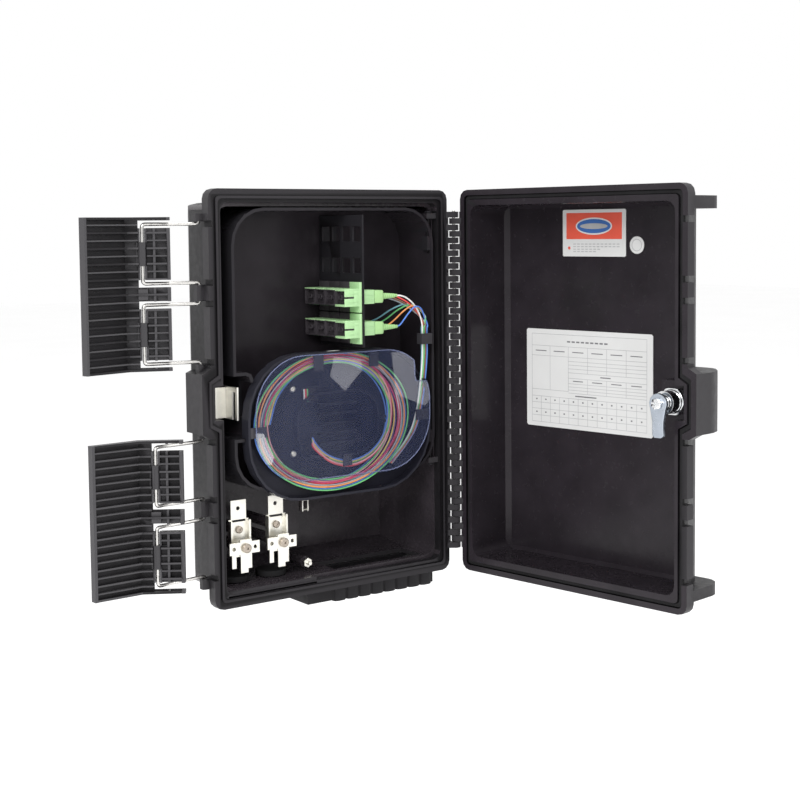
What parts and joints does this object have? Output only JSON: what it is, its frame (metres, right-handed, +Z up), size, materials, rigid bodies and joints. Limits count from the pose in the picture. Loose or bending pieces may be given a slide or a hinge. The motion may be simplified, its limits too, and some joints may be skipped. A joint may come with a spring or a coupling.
{
  "type": "fibre termination box",
  "caption": "Wall-mounted black plastic optical fibre box, open: hinged door, draw latches with wire bails, cam lock, swing-out tray with adapters, splice tray, clamps and cable ports.",
  "frame": {"origin": "centre of the flat back face that rests on the wall, at mid height of the box", "axes": "+Z up, the box opens toward -Y, +Y points into the wall, +X toward the hinge side"},
  "size_m": [0.3707, 0.2806, 0.302],
  "materials": {
    "black_plastic": "fine satin grain, moulded",
    "gloss_black": "smooth moulded, glossy",
    "black_rubber": "matte rubber",
    "nickel": "bright nickel plate",
    "steel": "drawn stainless wire",
    "chrome": "polished plate",
    "zinc": "zinc plate, bluish",
    "green_adapter": "satin moulded",
    "green_connector": "satin moulded",
    "fiber_jackets": "thin extruded jackets in several colours",
    "white_card": "printed film, faint table lines",
    "red_label": "printed film",
    "clear_cover": "clear bluish plastic"
  },
  "bodies": {
    "base": {"base_shell": "black_plastic", "hinge_pin": "steel", "strike_plate": "nickel", "clamp_bracket_left": "nickel", "clamp_plate_left": "nickel", "clamp_screw_left": "nickel", "anchor_screw_left": "nickel", "cable_grommet_left": "black_rubber", "clamp_bracket_right": "nickel", "clamp_plate_right": "nickel", "clamp_screw_right": "nickel", "anchor_screw_right": "nickel", "cable_grommet_right": "black_rubber", "earth_stud": "nickel", "drop_port_comb": "black_plastic", "tray_pin_upper": "steel", "tray_pin_lower": "steel"},
    "tray": {"swing_tray": "gloss_black", "adapter_bracket": "black_plastic", "adapter_upper_1": "green_adapter", "connector_upper_1": "green_connector", "adapter_upper_2": "green_adapter", "connector_upper_2": "green_connector", "adapter_upper_3": "green_adapter", "connector_upper_3": "green_connector", "adapter_upper_4": "green_adapter", "connector_upper_4": "green_connector", "adapter_lower_1": "green_adapter", "connector_lower_1": "green_connector", "adapter_lower_2": "green_adapter", "connector_lower_2": "green_connector", "adapter_lower_3": "green_adapter", "connector_lower_3": "green_connector", "adapter_lower_4": "green_adapter", "connector_lower_4": "green_connector", "splice_tray": "gloss_black", "splice_tray_screw": "nickel", "fiber_coil": "fiber_jackets", "fiber_clip": "black_plastic", "pigtails_upper": "fiber_jackets", "pigtails_lower": "fiber_jackets", "pigtail_bundle": "fiber_jackets"},
    "tray_cover": {"splice_tray_cover": "clear_cover"},
    "door": {"door_shell": "black_plastic", "door_seal": "black_rubber", "record_card": "white_card", "caution_label": "red_label", "round_sticker": "white_card", "lock_barrel": "chrome", "lock_nut": "chrome"},
    "lock_core": {"lock_plug": "chrome", "lock_cam": "zinc", "cam_screw": "chrome"},
    "upper_bail": {"wire_bail_upper_a": "steel", "wire_bail_upper_b": "steel"},
    "upper_lever": {"latch_lever_upper": "black_plastic"},
    "lower_bail": {"wire_bail_lower_a": "steel", "wire_bail_lower_b": "steel"},
    "lower_lever": {"latch_lever_lower": "black_plastic"}
  },
  "joints": [
    {"name": "door_hinge", "type": "hinge", "parent": "base", "child": "door", "pos_m": [0.1082, -0.066, 0], "axis": [0, 0, 1], "range_deg": [-98.84, 71]},
    {"name": "lock_turn", "type": "hinge", "parent": "door", "child": "lock_core", "pos_m": [0.13817, -0.25868, -0.0015], "axis": [-0.9881, -0.1537, 0], "range_deg": [-90, 0]},
    {"name": "upper_bail_swing", "type": "hinge", "parent": "base", "child": "upper_bail", "pos_m": [-0.1036, -0.0543, 0.074], "axis": [0, 0, -1], "range_deg": [-114.2, 20]},
    {"name": "upper_lever_turn", "type": "hinge", "parent": "upper_bail", "child": "upper_lever", "pos_m": [-0.14217, -0.04694, 0.074], "axis": [0, 0, -1], "range_deg": [-22.8, 30]},
    {"name": "lower_bail_swing", "type": "hinge", "parent": "base", "child": "lower_bail", "pos_m": [-0.1036, -0.0543, -0.075], "axis": [0, 0, -1], "range_deg": [-94.6, 20]},
    {"name": "lower_lever_turn", "type": "hinge", "parent": "lower_bail", "child": "lower_lever", "pos_m": [-0.14241, -0.06031, -0.075], "axis": [0, 0, -1], "range_deg": [-52.4, 15]},
    {"name": "tray_swing", "type": "hinge", "parent": "base", "child": "tray", "pos_m": [0.0875, -0.061, 0], "axis": [0, 0, 1], "range_deg": [0, 75]},
    {"name": "cover_flip", "type": "hinge", "parent": "tray", "child": "tray_cover", "pos_m": [0.006, -0.0693, -0.0622], "axis": [1, 0, 0], "range_deg": [0, 110]}
  ]
}
